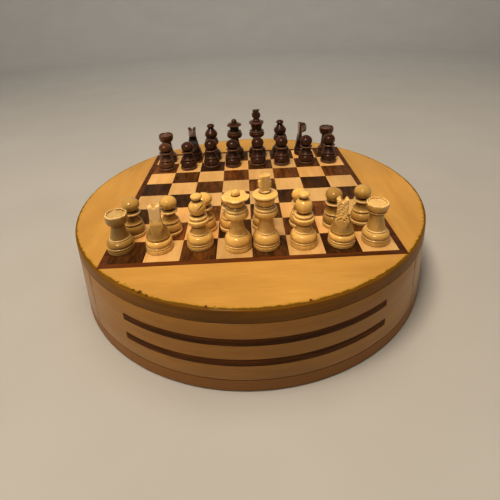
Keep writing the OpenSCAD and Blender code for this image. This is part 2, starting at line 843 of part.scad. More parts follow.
base_board();
felt_pads();
base_screws();
stop_pins();
partition();
left_guide_wall();
right_guide_wall();
left_bent_side();
right_bent_side();
top_board();
margin_front_back();
margin_sides();
dark_band();
dark_squares();
light_squares();
front_drawer_front();
front_drawer_stripes();
front_drawer_walls();
front_drawer_floor();
front_drawer_felt();
back_drawer_front();
back_drawer_stripes();
back_drawer_walls();
back_drawer_floor();
back_drawer_felt();
for (i = [0:7]) white_back(i);
for (i = [0:7]) white_pawn(i);
for (i = [0:7]) dark_back(i);
for (i = [0:7]) dark_pawn(i);
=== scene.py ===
import math
import random

import bmesh
import bpy
import numpy as np
from mathutils import Matrix, Vector, noise


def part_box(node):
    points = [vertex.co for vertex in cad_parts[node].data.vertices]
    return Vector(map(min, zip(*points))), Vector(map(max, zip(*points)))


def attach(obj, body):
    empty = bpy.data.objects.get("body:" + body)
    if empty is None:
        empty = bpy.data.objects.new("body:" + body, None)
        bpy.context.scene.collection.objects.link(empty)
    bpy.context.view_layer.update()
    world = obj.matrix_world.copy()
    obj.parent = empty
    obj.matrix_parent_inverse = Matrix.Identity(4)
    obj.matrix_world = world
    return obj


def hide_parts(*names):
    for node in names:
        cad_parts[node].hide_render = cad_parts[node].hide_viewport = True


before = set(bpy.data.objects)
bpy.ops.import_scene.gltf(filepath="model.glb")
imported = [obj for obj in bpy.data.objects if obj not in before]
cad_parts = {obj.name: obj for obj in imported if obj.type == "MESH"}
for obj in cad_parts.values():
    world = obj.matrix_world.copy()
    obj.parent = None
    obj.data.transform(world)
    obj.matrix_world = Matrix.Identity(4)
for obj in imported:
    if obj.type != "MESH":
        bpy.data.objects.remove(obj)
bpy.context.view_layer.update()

SCENE = bpy.context.scene
MM = 0.001
random.seed(11)

# Sizes in millimetres, most of them as in part.scad
CASE_R = 160.0
SPACE_Z = 10.0
TOP_Z = 57.5
VENEER_Z = 67.4
BOARD_Z = 68.0
CORNER_INSET = 0.9
BAND_W = 4.9
VENEER_JOINT = 0.06
BAND_OUTER = (CASE_R - CORNER_INSET) / math.sqrt(2)
SQUARE = 2 * (BAND_OUTER - BAND_W) / 8
SIDE_T = 6.0
FRONT_T = 10.0
DRAWER_W = 246.0
DRAWER_GAP = 0.4
GUIDE_X = DRAWER_W / 2 + DRAWER_GAP
STRIPE_H = 5.8
STRIPE_T = 1.2
STRIPE_PITCH = 16.8
STRIPE_MID_Z = SPACE_Z + (TOP_Z - SPACE_Z) / 2
STRIPE_HALF_ANGLE = 35.0
BASE_D = 20.8
PAWN_BASE_D = 18.4
DISC_H = 3.2
RING_H = 1.9
GROOVE = 0.45
BEAD_H = 1.4
BEAD_OUT = 0.75
BULB_RISE = 1.4
UNDERCUT = 1.1
RIM_ROUND = 2.0
SOFT_EDGE = 0.16
HEAD_Z, HEAD_R = 32.3, 6.6  # the bishop's head
# Angles in degrees above which an edge stays sharp
SHARP, SHARP_CASE = 38.0, 50.0

FILES = "abcdefgh"
BACK_RANK = ["rook", "knight", "bishop", "queen", "king", "bishop", "knight", "rook"]
# The way that each man of the back rank faces, in degrees, from file a to file h
TURNS = {"white": [20, 96, -5, 0, 8, 150, 74, 35], "dark": [10, -88, 60, 20, -12, 200, 4, 30]}
# Men that differ from the others of their kind, and how far a man's wood has darkened, from 0 to 1
SPECIAL = {"white_knight_g": "knight_cut", "white_rook_a": "rook_low", "dark_pawn_a": "pawn_low",
           "dark_pawn_b": "pawn_low", "dark_pawn_d": "pawn_low"}
TONES = {"white_rook_a": 0.8, "white_rook_h": 0.35, "white_pawn_a": 0.6, "white_pawn_b": 0.3, "white_pawn_g": 0.7,
         "white_pawn_h": 0.5, "white_knight_b": 0.0, "dark_pawn_a": 0.6, "dark_rook_a": 0.5}
NEW_TONE = 0.1
# Angles of the scallops in the queen's rim, and of the notches in the rook's: angle, half width and depth
SCALLOPS = [math.radians(a) for a in (-122, -57, 28, 92, 152)]
NOTCHES = [(22, 5, 1.2), (97, 8, 1.2), (165, 7, 1.4), (236, 17, 0.7), (279, 4, 0.4), (318, 7, 1.0)]
# Dings in the rim of the top: place and size in metres
DINGS = [((-0.0752, -0.1388, 0.068), 0.0019), ((-0.08, -0.1364, 0.068), 0.0012), ((-0.07, -0.1424, 0.068), 0.0012),
         ((-0.0305, -0.155, 0.068), 0.0012), ((0.0346, -0.154, 0.068), 0.0012), ((-0.0925, -0.1275, 0.068), 0.0009)]

# The camera as fitted to the photograph: its axes, place in metres and lens
CAMERA_AXES = ((0.99883285, -0.02388002, -0.04198433), (0.04758822, 0.33781683, 0.94000806),
               (-0.00826439, -0.94090889, 0.33855895))
CAMERA_PLACE = (-0.000575, -0.34939, 0.242057)
FOCAL_PX, PICTURE_PX, SENSOR_MM = 392.348, 500, 36.0
SHIFT_Y = -0.21

MIDDLE = (0, 0, 0.06)
WARM, CREAM = (1.0, 0.88, 0.72), (1.0, 0.92, 0.82)
# Name, place, target, size, power, colour, whether it shows in gloss and whether it lights matt surfaces
LIGHTS = [("key", (-0.375, -0.93, 1.34), MIDDLE, (0.32, 0.28), 6.3, WARM, True, True),
          ("glint", (-0.375, -0.93, 1.34), MIDDLE, (0.2, 0.18), 6.5, (1.0, 0.93, 0.82), True, False),
          ("high_key", (-0.16, -0.26, 1.25), MIDDLE, (0.34, 0.3), 12.5, WARM, False, True),
          ("overhead", (0.0, 0.05, 1.4), MIDDLE, (0.7, 0.6), 6.0, WARM, False, True),
          ("backdrop", (0.0, 1.0, 1.7), (0, 2.5, 0.8), (2.6, 0.6), 25.0, (1.0, 0.97, 0.92), False, True),
          ("left_rim", (-1.3, -0.15, 0.3), (-0.1, 0, 0.04), (0.7, 0.5), 6.0, CREAM, False, True),
          ("right_rim", (1.25, 0.0, 0.3), (0.1, 0, 0.04), (0.7, 0.5), 3.5, CREAM, False, True)]
WORLD_COLOUR, WORLD_STRENGTH = (0.86, 0.84, 0.80, 1), 0.06


# -------- camera, floor and lights


def placed(name, data):
    """A new object of the scene."""
    made = bpy.data.objects.new(name, data)
    SCENE.collection.objects.link(made)
    return made


def make_camera():
    data = bpy.data.cameras.new("camera")
    data.sensor_width = SENSOR_MM
    data.lens = FOCAL_PX / PICTURE_PX * SENSOR_MM
    data.shift_y = SHIFT_Y
    data.clip_start, data.clip_end = 0.01, 20.0
    camera = placed("camera", data)
    camera.matrix_world = Matrix.Translation(CAMERA_PLACE) @ Matrix(CAMERA_AXES).transposed().to_4x4()
    SCENE.camera = camera


def area_light(name, place, target, size, power, colour, glossy, diffuse):
    data = bpy.data.lights.new(name, "AREA")
    data.shape = "RECTANGLE"
    data.size, data.size_y = size
    data.energy, data.color = power, colour
    light = placed(name, data)
    light.location = place
    light.visible_glossy, light.visible_diffuse = glossy, diffuse
    light.rotation_mode = "QUATERNION"
    light.rotation_quaternion = (Vector(target) - Vector(place)).to_track_quat("-Z", "Y")


def make_stage():
    """A pale floor that curves up into a wall all round, soft lights and a dim world."""
    flat_r, bend, wall_h = 1.7, 0.8, 2.4
    outline = [(0, 0)] + arc(flat_r, bend, bend, bend, -90, 0, 16) + [(flat_r + bend, wall_h)]
    verts, faces, _ = lathe(outline, 96)
    mesh = bpy.data.meshes.new("floor")
    mesh.from_pydata(verts, [], faces)
    mesh.shade_smooth()
    floor = placed("floor", mesh)
    t = Tree("floor_paint", roughness=0.75, specular=0.3)
    mottle = t.noise(t.coords("object"), (9, 9, 9), detail=3)
    t.to("Base Color", t.mix(mottle, (0.41, 0.4, 0.385), (0.46, 0.45, 0.435)))
    mesh.materials.append(t.material)
    world = bpy.data.worlds.new("studio")
    world.use_nodes = True
    background = world.node_tree.nodes["Background"]
    background.inputs[0].default_value = WORLD_COLOUR
    background.inputs[1].default_value = WORLD_STRENGTH
    SCENE.world = world
    SCENE.view_settings.view_transform = "Standard"
    SCENE.view_settings.gamma = 0.8
    for light in LIGHTS:
        area_light(*light)


# -------- materials


class Tree:
    """A material of one Principled shader, with short calls for the nodes that feed it."""

    def __init__(self, name, roughness=0.5, specular=0.5, coat=0.0, coat_roughness=0.1, sheen=0.0, metallic=0.0):
        self.material = bpy.data.materials.new(name)
        self.material.use_nodes = True
        self.nodes = self.material.node_tree.nodes
        self.links = self.material.node_tree.links
        self.shader = self.nodes["Principled BSDF"]
        for socket, value in (("Roughness", roughness), ("Specular IOR Level", specular), ("Coat Weight", coat),
                              ("Coat Roughness", coat_roughness), ("Sheen Weight", sheen), ("Metallic", metallic)):
            self.shader.inputs[socket].default_value = value

    def put(self, socket, value):
        if isinstance(value, bpy.types.NodeSocket):
            self.links.new(value, socket)
        elif isinstance(value, tuple) and len(value) == 3 and socket.type == "RGBA":
            socket.default_value = (*value, 1)
        else:
            socket.default_value = value

    def node(self, kind, values=(), out=0, **settings):
        made = self.nodes.new(kind)
        for key, value in settings.items():
            setattr(made, key, value)
        for key, value in dict(values).items():
            self.put(made.inputs[key], value)
        return made.outputs[out]

    def coords(self, source):
        if source == "object":
            return self.node("ShaderNodeTexCoord", out=3)
        return self.node("ShaderNodeAttribute", attribute_name=source, out=1)

    def attribute(self, name):
        return self.node("ShaderNodeAttribute", attribute_name=name, out=2)

    def scaled(self, vector, scale):
        return self.node("ShaderNodeVectorMath", {0: vector, 1: scale}, operation="MULTIPLY")

    def added(self, vector, other):
        return self.node("ShaderNodeVectorMath", {0: vector, 1: other}, operation="ADD")

    def swapped(self, vector, order):
        """The vector's parts in another order, so that the grain runs along the first."""
        split = self.nodes.new("ShaderNodeSeparateXYZ")
        self.links.new(vector, split.inputs[0])
        return self.node("ShaderNodeCombineXYZ", {n: split.outputs["XYZ".index(c)] for n, c in enumerate(order)})

    def noise(self, vector, scale, detail=2.0, roughness=0.5, distortion=0.0, out=0):
        return self.node("ShaderNodeTexNoise", {"Vector": self.scaled(vector, scale), "Scale": 1.0, "Detail": detail,
                                                "Roughness": roughness, "Distortion": distortion}, out=out)

    def ramp(self, value, low, high, to_low=0.0, to_high=1.0):
        return self.node("ShaderNodeMapRange", {"Value": value, "From Min": low, "From Max": high, "To Min": to_low,
                                                "To Max": to_high}, interpolation_type="SMOOTHSTEP")

    def math(self, operation, a, b):
        return self.node("ShaderNodeMath", {0: a, 1: b}, operation=operation)

    def plus(self, a, b):
        return self.math("ADD", a, b)

    def minus(self, a, b):
        return self.math("SUBTRACT", a, b)

    def times(self, a, b):
        return self.math("MULTIPLY", a, b)

    def mix(self, factor, a, b, blend="MIX"):
        return self.node("ShaderNodeMix", {0: factor, 6: a, 7: b}, out=2, data_type="RGBA", blend_type=blend)

    def to(self, socket, value):
        self.put(self.shader.inputs[socket], value)

    def bump(self, height, strength, distance_mm):
        self.to("Normal", self.node("ShaderNodeBump", {"Height": height, "Strength": strength,
                                                       "Distance": distance_mm * MM}))


def wood(name, light, dark, grain="object", order="XYZ", roughness=0.42, coat=0.0, figure=(7, 95),
         fibre=(55, 1500), contrast=0.9, pores=0.0, bump=0.35, tiles=False, tone=0.1, finish=None, specular=0.25):
    """Sawn or sliced wood. The grain runs along the first part of the ordered coordinates."""
    t = Tree(name, coat=coat, coat_roughness=0.18, specular=specular)
    place = t.coords(grain)
    if tiles:
        per_square = 1 / (SQUARE * MM)
        nudged = t.added(t.scaled(place, (per_square, per_square, 0)), (0.0005, 0.0005, 0))
        chance = t.nodes.new("ShaderNodeTexWhiteNoise")
        t.put(chance.inputs["Vector"], t.node("ShaderNodeVectorMath", {0: nudged}, operation="FLOOR"))
        place = t.added(place, t.scaled(chance.outputs[1], (0.9, 0.9, 0.9)))
    if order != "XYZ":
        place = t.swapped(place, order)
    bands = t.noise(place, (figure[0], figure[1], figure[1]), detail=4, roughness=0.62, distortion=0.5)
    fibres = t.noise(place, (fibre[0], fibre[1], fibre[1]), detail=3, roughness=0.6)
    mottle = t.noise(place, (16, 22, 22), detail=3)
    blend = t.plus(t.times(t.ramp(bands, 0.28, 0.72), 0.6), t.times(t.ramp(fibres, 0.3, 0.7), 0.4))
    colour = t.mix(t.ramp(blend, 0.5 - 0.5 / contrast, 0.5 + 0.5 / contrast), light, dark)
    shade = t.ramp(mottle, 0.25, 0.75, 1 - tone, 1 + tone)
    if tiles:
        shade = t.times(shade, t.ramp(chance.outputs[0], 0, 1, 1 - 1.3 * tone, 1 + 0.9 * tone))
        colour = t.mix(t.ramp(chance.outputs[0], 0.55, 1.0, 0.0, 0.35), colour,
                       t.mix(1.0, colour, (1.0, 0.78, 0.55), "MULTIPLY"))
    colour = t.mix(1.0, colour, t.node("ShaderNodeCombineColor", {0: shade, 1: shade, 2: shade}), "MULTIPLY")
    height = fibres
    if pores:
        deep = t.ramp(t.noise(place, (150, 2400, 2400)), 0.6, 0.7)
        colour = t.mix(t.times(deep, pores), colour, tuple(0.35 * c for c in dark))
        height = t.minus(height, deep)
    gloss = t.plus(t.ramp(mottle, 0.2, 0.8, roughness - 0.06, roughness + 0.07), t.times(fibres, 0.04))
    if finish:
        colour, gloss = finish(t, colour, gloss)
    t.to("Base Color", colour)
    t.to("Roughness", gloss)
    t.bump(height, bump, 0.08)
    return t.material


def turned_wood(name, light, dark, groove_and_shade_colour, worn_and_lit_colour, pale, roughness, coat, coat_roughness, tone_to):
    """Wood turned on a lathe: growth rings about an axis beside the piece's own, dark grooves, worn edges and the
    palest wood where it is cut flat. The groove colour also paints shade in hollows and under overhangs, and the
    worn and pale colours also paint highlights on the knights' flat faces and in the rooks' dishes."""
    t = Tree(name, coat=coat, coat_roughness=coat_roughness, specular=0.2)
    own = t.node("ShaderNodeObjectInfo", out=5)
    shift = t.node("ShaderNodeCombineXYZ", {0: t.times(own, 0.013), 1: 0.009, 2: own})
    place = t.added(t.coords("object"), shift)
    warped = t.added(place, t.scaled(t.noise(place, (70, 70, 14), out=1), (0.002, 0.002, 0.0)))
    rings = t.node("ShaderNodeTexWave", {"Vector": warped, "Scale": 190.0, "Distortion": 1.5, "Detail": 2.0,
                                         "Detail Scale": 1.2}, out=1, wave_type="RINGS", rings_direction="Z")
    fibres = t.noise(place, (1300, 1300, 75), detail=3, roughness=0.6)
    mottle = t.noise(place, (120, 120, 60), detail=3)
    lathe_marks = t.noise(t.coords("object"), (30, 30, 2600))
    blend = t.plus(t.times(rings, 0.3), t.times(t.ramp(fibres, 0.3, 0.7), 0.25))
    blend = t.plus(blend, t.times(t.ramp(mottle, 0.3, 0.7), 0.45))
    colour = t.mix(t.attribute("tone"), t.mix(blend, light, dark), tone_to)
    wear_and_painted_light = t.attribute("wear_and_painted_light")
    rubbed_and_lit = t.times(wear_and_painted_light, -1.0)
    # Dark in grooves and as painted shade where the mark is high; lighter on worn edges and as painted highlight
    # where it is low.
    colour = t.mix(t.ramp(t.plus(wear_and_painted_light, t.times(mottle, 0.25)), 0.3, 1.0, 0.0, 0.85), colour, groove_and_shade_colour)
    colour = t.mix(t.ramp(t.minus(rubbed_and_lit, t.times(mottle, 0.3)), 0.15, 0.95, 0.0, 0.7), colour, worn_and_lit_colour)
    colour = t.mix(t.ramp(rubbed_and_lit, 0.95, 1.25, 0.0, 0.8), colour, pale)
    t.to("Base Color", colour)
    t.to("Roughness", t.ramp(mottle, 0.2, 0.8, roughness - 0.07, roughness + 0.09))
    t.bump(t.plus(t.times(fibres, 0.5), t.times(lathe_marks, 0.8)), 0.22, 0.06)
    return t.material


def felt(name, light, dark):
    t = Tree(name, roughness=0.95, specular=0.15, sheen=0.4)
    place = t.coords("object")
    fuzz = t.noise(place, (1700, 1700, 1700), detail=4, roughness=0.7)
    hairs = t.noise(place, (500, 2600, 2600), detail=3, roughness=0.6, distortion=2.0)
    patches = t.noise(place, (35, 35, 35))
    colour = t.mix(t.ramp(fuzz, 0.3, 0.7), dark, light)
    t.to("Base Color", t.mix(t.ramp(patches, 0.3, 0.8, 0.0, 0.3), colour, tuple(0.6 * c for c in dark)))
    t.to("Roughness", t.ramp(patches, 0.3, 0.8, 0.9, 0.98))
    t.bump(t.plus(fuzz, hairs), 0.7, 0.25)
    return t.material


def steel(name):
    t = Tree(name, metallic=1.0)
    rings = t.noise(t.coords("object"), (900, 900, 900), detail=3)
    t.to("Base Color", t.mix(rings, (0.55, 0.53, 0.48), (0.68, 0.66, 0.6)))
    t.to("Roughness", t.ramp(rings, 0.3, 0.7, 0.3, 0.45))
    t.bump(rings, 0.2, 0.03)
    return t.material


def rim_wear(t, colour, gloss):
    """The margin's worn outer edge: a yellow fringe where the veneer is thin, brown where it is gone, and dings."""
    rim = t.attribute("rim")
    here = t.coords("object")
    ragged = t.noise(here, (260, 260, 260), detail=5, roughness=0.7)
    level = t.plus(rim, t.plus(t.times(ragged, 0.7), t.times(t.noise(here, (24, 24, 24)), 0.3)))
    colour = t.mix(t.ramp(level, 0.98, 1.2, 0.0, 0.75), colour, (0.42, 0.245, 0.035))
    colour = t.mix(t.ramp(level, 1.2, 1.36), colour, (0.16, 0.085, 0.008))
    chips = t.noise(here, (190, 190, 60), detail=3, roughness=0.6)
    spots = t.times(t.ramp(chips, 0.66, 0.72), t.ramp(rim, 0.1, 0.6))
    for place, size in DINGS:
        far = t.node("ShaderNodeVectorMath", {0: here, 1: place}, out=1, operation="DISTANCE")
        far = t.plus(far, t.times(t.minus(ragged, 0.5), 1.6 * size))
        spots = t.math("MAXIMUM", spots, t.ramp(far, size, 0.5 * size))
    colour = t.mix(spots, colour, (0.1, 0.038, 0.008))
    return colour, t.plus(gloss, t.ramp(level, 0.8, 1.1, 0.0, 0.4))


def make_materials():
    def amber(name, order):
        return wood(name, (0.526, 0.313, 0.088), (0.447, 0.247, 0.061), order=order, coat=0.08, figure=(9, 60),
                    contrast=0.8, tone=0.07, bump=0.2, finish=rim_wear)
    return {
        "amber_x": amber("amber_x", "XYZ"),
        "amber_y": amber("amber_y", "YXZ"),
        "band": wood("band_wood", (0.15, 0.05, 0.012), (0.05, 0.015, 0.004), roughness=0.45, coat=0.06,
                     contrast=1.2, pores=0.6),
        "dark_squares": wood("dark_square_wood", (0.19, 0.075, 0.016), (0.05, 0.018, 0.0045), order="YXZ",
                             roughness=0.45, coat=0.06, figure=(45, 260), fibre=(160, 1500), contrast=1.1,
                             pores=0.7, tiles=True, tone=0.32),
        "light_squares": wood("light_square_wood", (0.64, 0.43, 0.195), (0.56, 0.34, 0.132), order="YXZ",
                              coat=0.1, figure=(10, 110), tiles=True, bump=0.2),
        "top_edge": wood("top_edge_wood", (0.26, 0.116, 0.005), (0.17, 0.07, 0.002), grain="grain",
                         specular=0.12, figure=(4, 240), fibre=(30, 1600), roughness=0.5, coat=0.3, tone=0.2),
        "side": wood("side_wood", (0.385, 0.19, 0.033), (0.31, 0.143, 0.02), grain="grain", figure=(7, 70),
                     roughness=0.46, coat=0.6, tone=0.08, bump=0.25),
        "base_edge": wood("base_edge_wood", (0.34, 0.165, 0.052), (0.23, 0.108, 0.03), grain="grain",
                          figure=(5, 260), fibre=(35, 1500), contrast=1.1, roughness=0.5, coat=0.05, tone=0.12),
        "stripe": wood("stripe_wood", (0.15, 0.057, 0.012), (0.066, 0.024, 0.005), grain="grain",
                       figure=(7, 300), contrast=1.4, roughness=0.5, specular=0.1, pores=0.4, tone=0.18),
        "inner": wood("inner_wood", (0.62, 0.43, 0.25), (0.47, 0.3, 0.16), order="YXZ", roughness=0.62,
                      figure=(8, 80)),
        "tray": wood("tray_wood", (0.66, 0.46, 0.27), (0.54, 0.35, 0.19), order="YXZ", roughness=0.58,
                     figure=(8, 110), pores=0.2),
        "floor_ply": wood("tray_floor_wood", (0.7, 0.52, 0.33), (0.56, 0.4, 0.24), roughness=0.6,
                          figure=(6, 55)),
        "stop": wood("stop_wood", (0.62, 0.42, 0.24), (0.46, 0.28, 0.14), order="ZXY", roughness=0.5, coat=0.1,
                     contrast=0.6),
        "tray_felt": felt("tray_felt", (0.045, 0.16, 0.07), (0.015, 0.07, 0.03)),
        "pad_felt": felt("pad_felt", (0.06, 0.12, 0.07), (0.02, 0.05, 0.03)),
        "steel": steel("screw_steel"),
        # The groove colours below also paint shade, and the worn and pale colours also paint highlights.
        "white": turned_wood("white_men_wood", (0.87, 0.58, 0.2), (0.69, 0.43, 0.125), (0.085, 0.028, 0.001),
                             (0.94, 0.7, 0.35), (1.0, 0.75, 0.42), 0.3, 1.0, 0.15, (0.26, 0.15, 0.032)),
        "dark": turned_wood("dark_men_wood", (0.095, 0.034, 0.014), (0.026, 0.009, 0.004), (0.005, 0.002, 0.001),
                            (0.2, 0.11, 0.065), (0.33, 0.25, 0.2), 0.33, 0.95, 0.3, (0.16, 0.07, 0.03)),
    }


# -------- mesh making


def piece(name, verts, faces, material, body, nodes, point_data=None, corner_grain=None, sharp=SHARP,
          matrix=Matrix()):
    """A mesh in millimetres as an object of the scene that rides on a CAD body and stands for its nodes."""
    mesh = bpy.data.meshes.new(name)
    mesh.from_pydata([tuple(c * MM for c in v) for v in verts], [], faces)
    mesh.materials.append(material)
    for key, values in (point_data or {}).items():
        mesh.attributes.new(key, "FLOAT", "POINT").data.foreach_set("value", values)
    if corner_grain:
        layer = mesh.attributes.new("grain", "FLOAT_VECTOR", "CORNER")
        flat = []
        for polygon in mesh.polygons:
            corners = [corner_grain[v] for v in polygon.vertices]
            far = max(c[0] for c in corners)
            for along, across, depth in corners:
                if far - along > math.pi * CASE_R:
                    along += 2 * math.pi * CASE_R
                flat += [along * MM, across * MM, depth * MM]
        layer.data.foreach_set("vector", flat)
    shade(mesh, sharp)
    made = placed(name, mesh)
    made.matrix_world = matrix
    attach(made, body)
    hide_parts(*nodes)
    return made


def shade(mesh, sharp=SHARP):
    bm = bmesh.new()
    bm.from_mesh(mesh)
    bmesh.ops.recalc_face_normals(bm, faces=bm.faces)
    for face in bm.faces:
        face.smooth = True
    limit = math.radians(sharp)
    for edge in bm.edges:
        edge.smooth = len(edge.link_faces) == 2 and edge.calc_face_angle(0.0) < limit
    bm.to_mesh(mesh)
    bm.free()


def clamp(value, low=0.0, high=1.0):
    return max(low, min(high, value))


def lathe(outline, count, warp=None, start=0.0):
    """Verts, faces and rows of an outline of (radius, height) turned about Z, with its ends closed on the axis."""
    angles = [start + 2 * math.pi * n / count for n in range(count)]
    verts, rows, faces = [], [], []
    for r, z in outline:
        if r < 1e-6:
            rows.append([len(verts)])
            verts.append((0.0, 0.0, z))
            continue
        rows.append(list(range(len(verts), len(verts) + count)))
        for a in angles:
            rr, zz = warp(a, r, z) if warp else (r, z)
            verts.append((rr * math.cos(a), rr * math.sin(a), zz))
    for low, high in zip(rows, rows[1:]):
        for i in range(count):
            j = (i + 1) % count
            if len(low) == 1:
                faces.append((low[0], high[j], high[i]))
            elif len(high) == 1:
                faces.append((low[i], low[j], high[0]))
            else:
                faces.append((low[i], low[j], high[j], high[i]))
    return verts, faces, rows


def turn_angle(a, b, c):
    """Signed turn at b, in degrees, positive where the outline bends to the left."""
    first = math.atan2(b[1] - a[1], b[0] - a[0])
    second = math.atan2(c[1] - b[1], c[0] - b[0])
    return (math.degrees(second - first) + 180) % 360 - 180


def distinct(outline):
    out = [outline[0]]
    for p in outline[1:]:
        if math.dist(p, out[-1]) > 0.02:
            out.append(p)
    return out


def softened(outline):
    """The outline with its sharp corners rounded, and each point's mark: above 0 darkens it, in a groove and as
    painted shade deep between wider parts and on faces that look down; below 0 lightens it, on an edge.
    """
    outline = distinct(outline)
    out, corners = [outline[0]], []
    for a, b, c in zip(outline, outline[1:], outline[2:]):
        angle = turn_angle(a, b, c)
        corners.append((b, angle))
        if abs(angle) < 24:
            out.append(b)
            continue
        before, after = math.dist(a, b), math.dist(b, c)
        back, ahead = min(SOFT_EDGE, 0.42 * before) / before, min(SOFT_EDGE, 0.42 * after) / after
        start = (b[0] + (a[0] - b[0]) * back, b[1] + (a[1] - b[1]) * back)
        end = (b[0] + (c[0] - b[0]) * ahead, b[1] + (c[1] - b[1]) * ahead)
        middle = (0.25 * start[0] + 0.5 * b[0] + 0.25 * end[0], 0.25 * start[1] + 0.5 * b[1] + 0.25 * end[1])
        out += [start, middle, end]
    out.append(outline[-1])
    wear_and_painted_light = []
    for n, p in enumerate(out):
        last, following = out[max(n - 1, 0)], out[min(n + 1, len(out) - 1)]
        # Painted shade: faces that look down, and stems deep between wider parts, are darkened as if lit from above.
        under = max(0.0, (following[0] - last[0]) / (math.dist(last, following) + 1e-6))
        total = 0.95 * hollow_shade(p, out[:n + 1], out[n:]) + 0.55 * under
        for place, angle in corners:
            near = math.dist(p, place)
            if near < 2.2 and place[0] > 0.5:
                total -= clamp(angle / 70, -1.0) * math.exp(-((near / 0.7) ** 2))
        wear_and_painted_light.append(clamp(total, -1.0))
    return out, wear_and_painted_light


def hollow_shade(p, before, after):
    """1 where a point lies deep between wider parts below and above it, 0 where it doesn't: how much painted shade
    the point gets under collars and heads.
    """
    below = max(r - 0.35 * abs(p[1] - z) for r, z in before)
    above = max(r - 0.35 * abs(p[1] - z) for r, z in after)
    return clamp((min(above, below) - p[0] - 0.3) / 2.2)


def turned(outline, count, warp=None):
    """Verts, faces and per-vertex marks (grooves, worn edges, painted shade) of an outline turned about Z."""
    outline, wear_and_painted_light = softened(outline)
    verts, faces, rows = lathe(outline, count, warp)
    return verts, faces, [w for w, row in zip(wear_and_painted_light, rows) for _ in row]


def arc(r, z, w, h, start, end, steps=9):
    out = []
    for n in range(steps + 1):
        a = math.radians(start + (end - start) * n / steps)
        out.append((r + w * math.cos(a), z + h * math.sin(a)))
    return out


# -------- carved parts


def smooth_max(a, b, k):
    h = np.clip(0.5 + 0.5 * (a - b) / k, 0, 1)
    return b * (1 - h) + a * h + k * h * (1 - h)


def smooth_min(a, b, k):
    return -smooth_max(-a, -b, k)


def polygon_distance(x, z, points):
    """Signed distance from the grid's points to a closed outline, below 0 inside."""
    best = np.full(x.shape, 1e9)
    inside = np.zeros(x.shape, bool)
    for (ax, az), (bx, bz) in zip(points, points[1:] + points[:1]):
        ex, ez = bx - ax, bz - az
        wx, wz = x - ax, z - az
        t = np.clip((wx * ex + wz * ez) / (ex * ex + ez * ez), 0, 1)
        best = np.minimum(best, np.hypot(wx - ex * t, wz - ez * t))
        crosses = (az > z) != (bz > z)
        where = ax + (z - az) * ex / (ez if abs(ez) > 1e-9 else 1e-9)
        inside ^= crosses & (x < where)
    return np.where(inside, -best, best)


def skin(field, low, step):
    """Closed surface of the places where field changes sign, clear of the grid's ends, as verts and quads."""
    inside = field < 0
    shape = tuple(n - 1 for n in field.shape)
    total, count = np.zeros(shape + (3,)), np.zeros(shape)
    cells = np.stack(np.indices(shape), -1).astype(float)
    edges = []
    for axis in range(3):
        u, v = [n for n in range(3) if n != axis]
        here, ahead = [slice(None)] * 3, [slice(None)] * 3
        here[axis], ahead[axis] = slice(None, -1), slice(1, None)
        f0, f1 = field[tuple(here)], field[tuple(ahead)]
        crossing = inside[tuple(here)] != inside[tuple(ahead)]
        share = np.where(crossing, f0 / np.where(crossing, f0 - f1, 1), 0)
        edges.append(crossing)
        for du, dv in ((0, 0), (0, 1), (1, 0), (1, 1)):
            cut = [slice(None)] * 3
            cut[u], cut[v] = slice(du, du + shape[u]), slice(dv, dv + shape[v])
            there = crossing[tuple(cut)]
            offset = np.zeros(shape + (3,))
            offset[..., axis], offset[..., u], offset[..., v] = share[tuple(cut)], du, dv
            total += (cells + offset) * there[..., None]
            count += there
    used = count > 0
    index = np.full(shape, -1)
    index[used] = np.arange(used.sum())
    verts = total[used] / count[used][:, None] * step + np.array(low)
    faces = []
    for axis in range(3):
        spots = np.argwhere(edges[axis])
        quads = []
        for du, dv in ((-1, -1), (0, -1), (0, 0), (-1, 0)):
            cell = spots.copy()
            cell[:, (axis + 1) % 3] += du
            cell[:, (axis + 2) % 3] += dv
            quads.append(index[tuple(cell.T)])
        for quad, solid in zip(np.stack(quads, 1).tolist(), inside[tuple(spots.T)]):
            faces.append(tuple(quad if solid else quad[::-1]))
    return [tuple(v) for v in verts], faces


def carve_grid(low, high, step):
    axes = [np.arange(a, b + step, step) for a, b in zip(low, high)]
    return np.meshgrid(*axes, indexing="ij")


def ball(x, y, z, centre, r):
    return np.sqrt((x - centre[0]) ** 2 + (y - centre[1]) ** 2 + (z - centre[2]) ** 2) - r


def rod(x, y, z, a, b, r):
    """Distance to a rod with round ends."""
    ax, ay, az = a
    ex, ey, ez = (q - p for p, q in zip(a, b))
    t = np.clip(((x - ax) * ex + (y - ay) * ey + (z - az) * ez) / (ex * ex + ey * ey + ez * ez), 0, 1)
    return np.sqrt((x - ax - t * ex) ** 2 + (y - ay - t * ey) ** 2 + (z - az - t * ez) ** 2) - r


